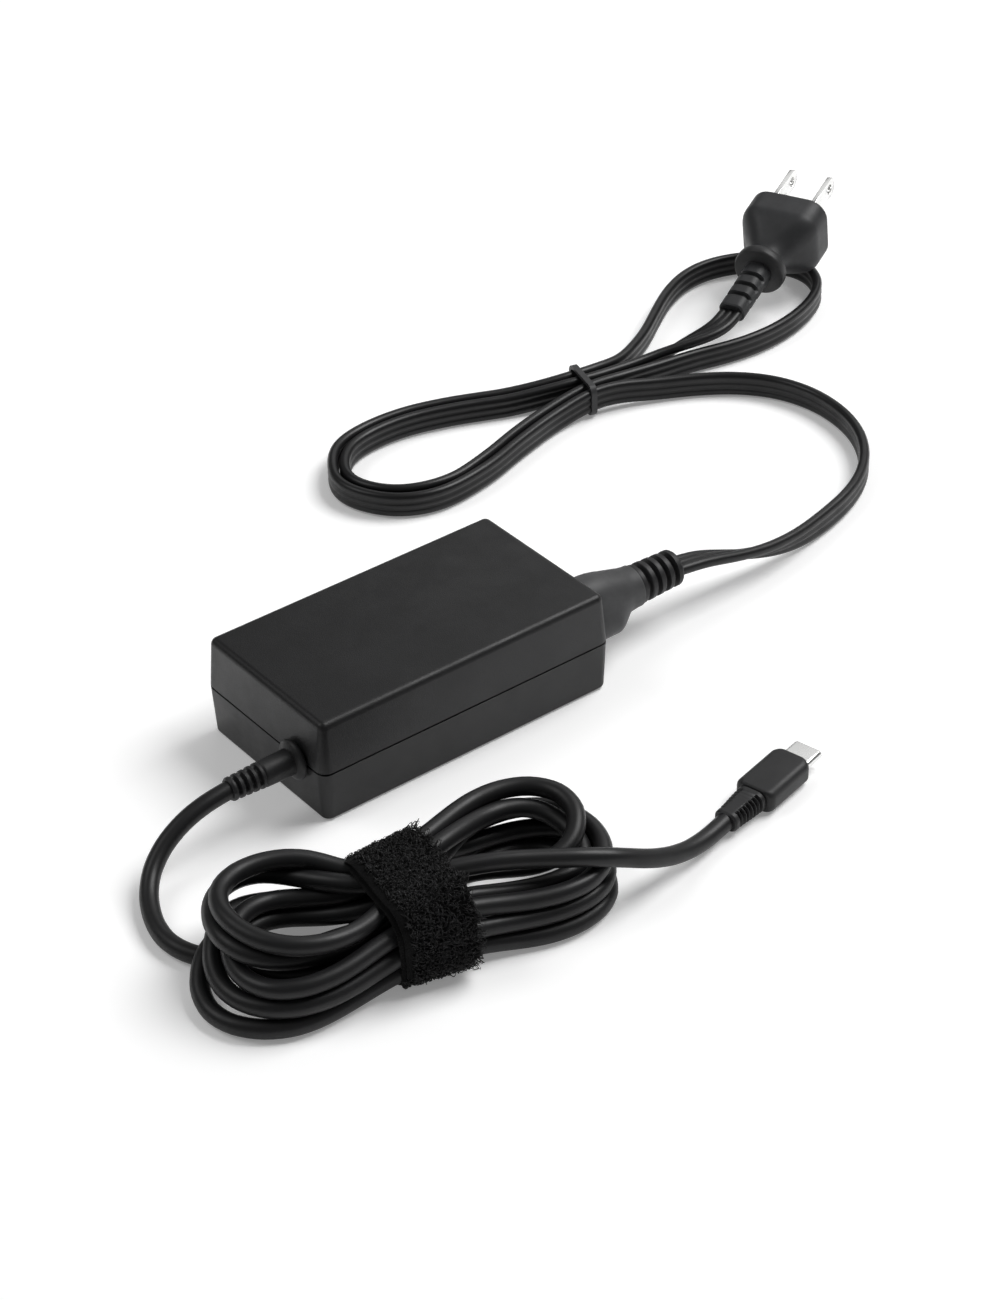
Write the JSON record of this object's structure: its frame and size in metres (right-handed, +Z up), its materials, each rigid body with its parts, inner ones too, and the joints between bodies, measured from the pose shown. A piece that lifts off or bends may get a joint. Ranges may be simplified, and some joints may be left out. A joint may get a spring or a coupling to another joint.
{
  "type": "laptop power adapter",
  "caption": "Black USB-C laptop power adapter with its output lead in a strapped hank and a tied flat mains lead with a three-pin plug.",
  "frame": {"origin": "centre of the underside of the adapter casing", "axes": "+X along the casing towards the mains inlet, +Z up, away from the underside"},
  "size_m": [0.3553, 0.2227, 0.0314],
  "materials": {
    "case": "satin, finely textured",
    "soft": "satin",
    "jacket": "satin",
    "strap": "loop pile",
    "label": "matt, blank",
    "moulding": "matt",
    "plated": "nickel plated",
    "brass": "plain",
    "aluminium": "plain",
    "board": "solder resist",
    "film": "translucent white",
    "blue": "dipped",
    "tape": "film tape",
    "copper": "enamelled wire",
    "ferrite": "sintered"
  },
  "bodies": {
    "adapter": {"top_cover": "case", "bottom_cover": "case", "rating_label": "label", "inlet_housing": "moulding", "inlet_pin_line": "plated", "inlet_pin_neutral": "plated", "inlet_pin_earth": "plated", "main_board": "board", "insulation_sheet": "film", "heat_spreader": "aluminium", "fuse": "film", "varistor": "blue", "common_mode_choke": "copper", "x_capacitor": "tape", "bridge_rectifier": "moulding", "bulk_capacitor": "moulding", "primary_heatsink": "aluminium", "primary_transistor": "moulding", "transformer_core": "ferrite", "transformer_winding": "tape", "y_capacitor": "blue", "optocoupler": "moulding", "secondary_heatsink": "aluminium", "synchronous_rectifier": "moulding", "output_capacitor_1": "aluminium", "output_capacitor_2": "aluminium", "output_inductor": "copper", "power_delivery_board": "board", "power_delivery_controller": "moulding", "output_cord_gland": "soft", "output_cord_start": "jacket", "output_cord_hank": "jacket", "cable_strap": "strap", "output_cord_end": "jacket", "usb_c_relief": "soft", "usb_c_overmould": "soft", "usb_c_shell": "plated", "usb_c_tongue": "moulding"},
    "mains_lead": {"mains_connector": "soft", "connector_contact_line": "brass", "connector_contact_neutral": "brass", "connector_contact_earth": "brass", "mains_connector_relief": "soft", "mains_cord_lead": "jacket", "mains_cord_left_loops": "jacket", "mains_cord_right_loop": "jacket", "mains_cord_plug_lead": "jacket", "twist_tie": "jacket", "mains_plug_relief": "soft", "mains_plug_body": "soft", "plug_blade_line": "plated", "plug_blade_neutral": "plated", "plug_earth_pin": "plated"}
  },
  "joints": [
    {"name": "mains_connector_slide", "type": "slide", "parent": "adapter", "child": "mains_lead", "axis": [1, 0, 0], "range_m": [0, 0.02]}
  ]
}
